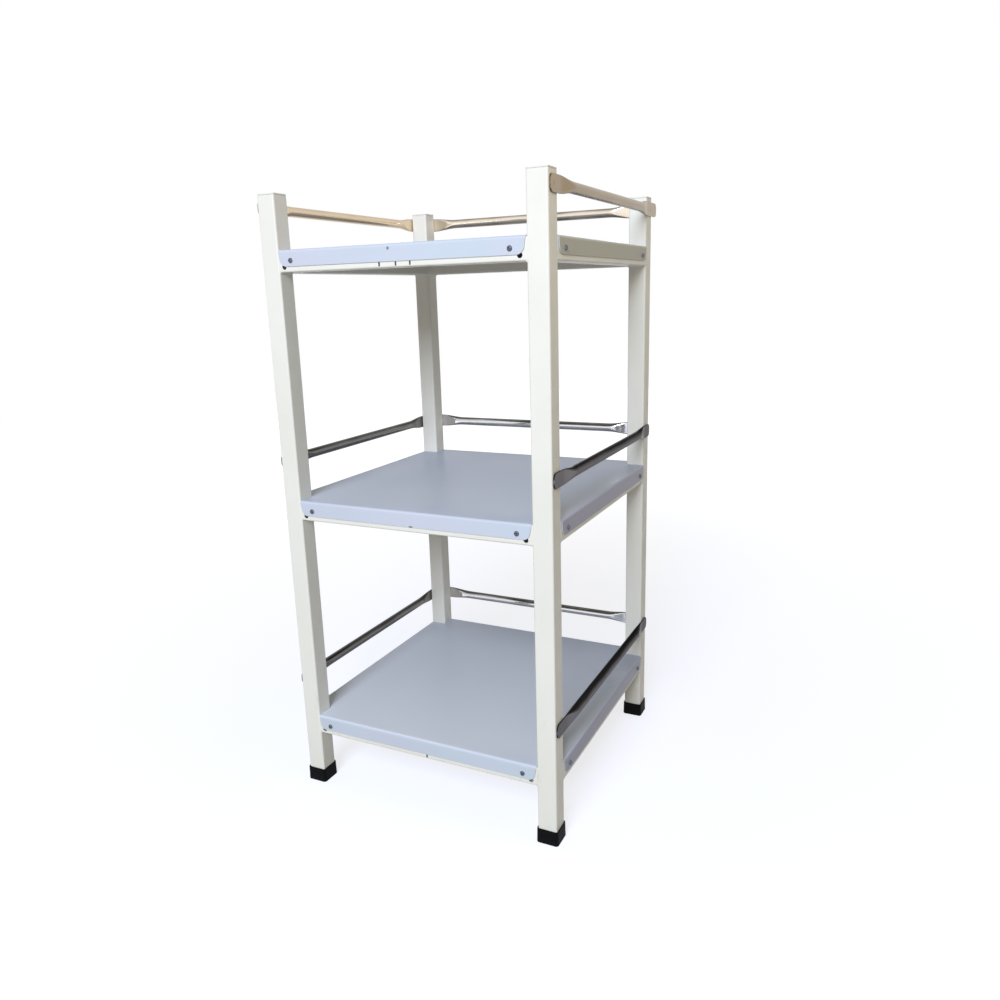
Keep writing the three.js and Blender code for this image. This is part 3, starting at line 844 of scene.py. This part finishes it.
def pan_screw(seat, direction, turned):
    """Pan-head screw: a profile turned round its axis, from the crown over the rim to the seat and down
    the shank. The crown falls as the square of the reach and drops over its rim. A cross is sunk into it,
    deepest in the middle: two bars of the recess width, soft-edged."""
    crown_fall, rim_drop, rim_from, rim_to = 0.16, 0.84, 0.62, 1.05
    soft_side, soft_end, shallower = 0.2 * MM, 0.5 * MM, 0.45
    reach = np.array([0, 0.1, 0.22, 0.34, 0.46, 0.58, 0.68, 0.78, 0.87, 0.94, 0.985, 1.0, 1.0])
    over_rim = smooth_step(rim_from, rim_to, reach) ** 2
    crown = HEAD_HEIGHT * (1 - crown_fall * reach**2 - rim_drop * over_rim)
    radii = np.concatenate([reach * HEAD_RADIUS, [SHANK_RADIUS, SHANK_RADIUS, 0]])
    rise = np.concatenate([crown, [0, -SHANK_LENGTH + SHANK_RADIUS, -SHANK_LENGTH]])
    rise[len(reach) - 1] = 0
    turn = np.linspace(0, 2 * math.pi, SCREW_SIDES, endpoint=False)
    x = radii[:, None] * np.cos(turn)
    y = radii[:, None] * np.sin(turn)

    def bar(across_bar, along_bar):
        """Share of the recess depth in one bar of the cross."""
        in_width = smooth_step(-soft_side, soft_side, RECESS_WIDTH - abs(across_bar))
        return in_width * smooth_step(0, soft_end, RECESS_REACH - abs(along_bar))

    sunk = RECESS_DEPTH * (1 - shallower * radii / RECESS_REACH)
    depth = sunk[:, None] * np.maximum(bar(x, y), bar(y, x))
    on_crown = (np.arange(len(radii)) < len(reach) - 1)[:, None]
    z = rise[:, None] - np.where(on_crown, depth, 0)
    side = np.cross(UP, direction)
    across = math.cos(turned) * side + math.sin(turned) * UP
    upright = math.cos(turned) * UP - math.sin(turned) * side
    points = seat + x[..., None] * across + y[..., None] * upright + z[..., None] * direction
    return points, grid_quads(*x.shape, False, True)


def make_tray_screws():
    """Screws through the flanges, each turned home to its own angle."""
    turn_step = 0.7
    for level in LEVELS:
        for side, direction in OUTWARD.items():
            ends = ("left", "right") if side in ("front", "rear") else ("front", "rear")
            nodes = [f"screw_{level}_{side}_{end}" for end in ends]
            parts = []
            for count, node in enumerate(nodes):
                low, high = node_box(node)
                middle = (low + high) / 2
                crown = max(low @ direction, high @ direction)
                seat = middle + (crown - HEAD_HEIGHT - middle @ direction) * direction
                parts.append(pan_screw(seat, direction, turn_step * (count + len(level) + len(side))))
            name = f"tray_screws_{level}_{side}"
            make_piece(name, *joined(parts), PLATING, "screw_steel", nodes, crease=35)


def flat_rivet(seat, direction):
    """Flush rivet of the rail's own steel: a low dome, the height falling as the square of the reach, and
    a little of it left at the rim."""
    rim_share = 0.15
    reach = np.array([0, 0.3, 0.6, 0.85, 1, 1])
    rise = np.append(RIVET_RISE * (1 + rim_share - reach[:-1] ** 2), -TAB_THICKNESS)
    turn = np.linspace(0, 2 * math.pi, RIVET_SIDES, endpoint=False)
    side = np.cross(UP, direction)
    spokes = np.cos(turn)[:, None] * side + np.sin(turn)[:, None] * UP
    points = seat + RIVET_RADIUS * reach[:, None, None] * spokes + rise[:, None, None] * direction
    end = np.broadcast_to(seat - TAB_THICKNESS * direction, (1, len(turn), 3))
    points = np.concatenate([points, end])
    return points, grid_quads(*points.shape[:2], False, True)


def make_rivets():
    """Rivets through the pressed rail ends into the middle of each post."""
    for level in LEVELS:
        for side in RAILED_SIDES:
            _, axis, height, spans = rail_frame(level, side)
            outer = np.array(axis + TAB_THICKNESS / 2)
            parts = []
            for span in spans:
                seat = side_points(side, np.array(span.mean()), outer, np.array(height))
                parts.append(flat_rivet(seat, OUTWARD[side]))
            points, faces = joined(parts)
            drawn = np.tile([1.0, 0.0, 0.0], (len(points), 1))
            name = f"rail_rivets_{level}_{side}"
            make_piece(name, points, faces, rail_steel(level, side), "polished_rail", vectors=drawn)


# Marks left by making and use

def flat_stroke(centre, across, along, width, length):
    """Thin lozenge with round ends on a face: an outline narrowing at both ends as the fourth power of
    the way from its middle, raised by the thickness of a mark."""
    out = np.cross(across, along)
    stations = 13
    walk = np.linspace(-1, 1, stations)
    half = width / 2 * np.sqrt(np.clip(1 - walk**4, 0, 1))
    lift = MARK_THICKNESS * (1 - walk**6)
    rows = []
    for share, rise in ((-1, 0), (-0.6, 1), (0.6, 1), (1, 0)):
        row = centre + (share * half)[:, None] * across + (walk * length / 2)[:, None] * along
        rows.append(row + (rise * lift)[:, None] * out)
    return np.stack(rows), grid_quads(len(rows), stations, True, False)


def make_marks():
    """Setting-out strokes across the front tubes, a nick on the middle flange's lower edge and a scuffed
    spot on the top flange."""
    top_low, top_high = node_box("tray_top")
    middle = (top_low[0] + top_high[0]) / 2
    across = OUTWARD["right"]
    parts = []
    for node, places in STROKES.items():
        low, _ = node_box(node)
        for shift, width in places:
            centre = np.array([middle + shift, low[1], low[2] + STROKE_RISE])
            parts.append(flat_stroke(centre, across, UP, width, STROKE_LENGTH))
    low, _ = node_box("tray_middle")
    nick = np.array([middle + NICK_SHIFT, low[1], low[2] + NICK_RISE])
    parts.append(flat_stroke(nick, across, UP, *NICK_SIZE))
    make_piece("setting_out_strokes", *joined(parts), PENCIL, "screw_steel")
    spot = np.array([middle + SPOT_SHIFT, top_low[1], top_high[2] - SPOT_DROP])
    dot = round_bar(spot, OUTWARD["front"], SPOT_RADIUS, SPOT_LENGTH)
    make_piece("film_spot", *dot, SCUFF, "tray_sheet")


# Floor, light and camera

def show_white(tree, plain, white):
    """Mixes a plain shader with a white one for rays that see the background."""
    rays = add_node(tree, "ShaderNodeLightPath").outputs
    direct = calculate(tree, "MAXIMUM", rays["Is Camera Ray"], rays["Is Glossy Ray"])
    seen = calculate(tree, "MAXIMUM", direct, rays["Is Transmission Ray"])
    return add_node(tree, "ShaderNodeMixShader", {0: seen, 1: plain, 2: white}).outputs[0]


def make_floor():
    """Round floor: to the eye and in gloss it is white and keeps the shadow, and as light it is a dull
    warm grey. Its glow grows from the rack outward until it is white by itself."""
    sides = 96
    radii = np.array([0.0, 1.0, 6.0])
    turn = np.linspace(0, 2 * math.pi, sides, endpoint=False)
    x = radii[:, None] * np.cos(turn)
    y = radii[:, None] * np.sin(turn)
    points = np.stack([x, y, 0 * x], axis=-1)
    mesh = bpy.data.meshes.new("floor")
    mesh.from_pydata(points.reshape(-1, 3).tolist(), [], grid_quads(*x.shape, False, True).tolist())
    floor = bpy.data.objects.new("floor", mesh)
    bpy.context.scene.collection.objects.link(floor)
    material, tree, shader = new_material("floor_paint")
    feed(tree, shader, {"Base Color": FLOOR_AS_LIGHT, "Roughness": 0.9})
    lit = add_node(tree, "ShaderNodeBsdfDiffuse", {"Color": FLOOR_SEEN}).outputs[0]
    reach = add_node(tree, "ShaderNodeVectorMath", {0: object_place(tree)}, operation="LENGTH")
    strength = remap(tree, reach.outputs["Value"], (0.5, 3.0), (0.74, 1.0))
    glow = add_node(tree, "ShaderNodeEmission", {"Color": WHITE, "Strength": strength}).outputs[0]
    white = add_node(tree, "ShaderNodeAddShader", {0: lit, 1: glow}).outputs[0]
    feed(tree, tree.nodes["Material Output"], {"Surface": show_white(tree, shader.outputs[0], white)})
    mesh.materials.append(material)


def make_world():
    """White to the eye and in gloss; a dim warm fill as light."""
    world = bpy.data.worlds.new("studio")
    bpy.context.scene.world = world
    world.use_nodes = True
    tree = world.node_tree
    fill = tree.nodes["Background"]
    feed(tree, fill, {"Color": FILL_LIGHT, "Strength": 0.24})
    white = add_node(tree, "ShaderNodeBackground", {"Color": WHITE, "Strength": 1.0})
    shown = show_white(tree, fill.outputs[0], white.outputs[0])
    feed(tree, tree.nodes["World Output"], {"Surface": shown})


def make_lamp(name, place, aim, size, power, colour):
    """Square area lamp at a place, turned to face its aim."""
    data = bpy.data.lights.new(name, "AREA")
    data.shape = "SQUARE"
    data.size = size
    data.energy = power
    data.color = colour
    lamp = bpy.data.objects.new(name, data)
    lamp.location = place
    lamp.rotation_euler = (Vector(aim) - Vector(place)).to_track_quat("-Z", "Y").to_euler()
    bpy.context.scene.collection.objects.link(lamp)


def make_camera():
    """Camera at the photograph's viewpoint: place, turn round the rack, downward tilt, roll and lens."""
    place = (0.67043, -1.28765, 0.84113)
    turn, tilt, roll = math.radians(26.227), math.radians(13.99), math.radians(-1.687)
    sensor, focal_pixels, picture_pixels = 36.0, 826.19, 1000
    data = bpy.data.cameras.new("camera")
    data.sensor_width = sensor
    data.lens = sensor * focal_pixels / picture_pixels
    camera = bpy.data.objects.new("camera", data)
    upright = Matrix.Rotation(turn, 4, "Z") @ Matrix.Rotation(math.pi / 2 - tilt, 4, "X")
    camera.matrix_world = Matrix.Translation(place) @ upright @ Matrix.Rotation(roll, 4, "Z")
    bpy.context.scene.collection.objects.link(camera)
    bpy.context.scene.camera = camera


make_posts()
make_caps()
make_shoes()
make_frames()
make_trays()
make_rails()
make_tray_screws()
make_rivets()
make_marks()

make_floor()
make_world()
make_lamp(
    "key_lamp", place=(0.6, -3.6, 2.5), aim=(0, 0, 0.5), size=1.8, power=163, colour=(0.80, 0.865, 0.955),
)
make_lamp(
    "side_lamp", place=(0.80, -0.15, 1.35), aim=(0.24, -0.15, 0.9), size=0.35, power=1.2,
    colour=(1.0, 0.84, 0.60),
)
make_camera()
bpy.context.scene.view_settings.view_transform = "Standard"
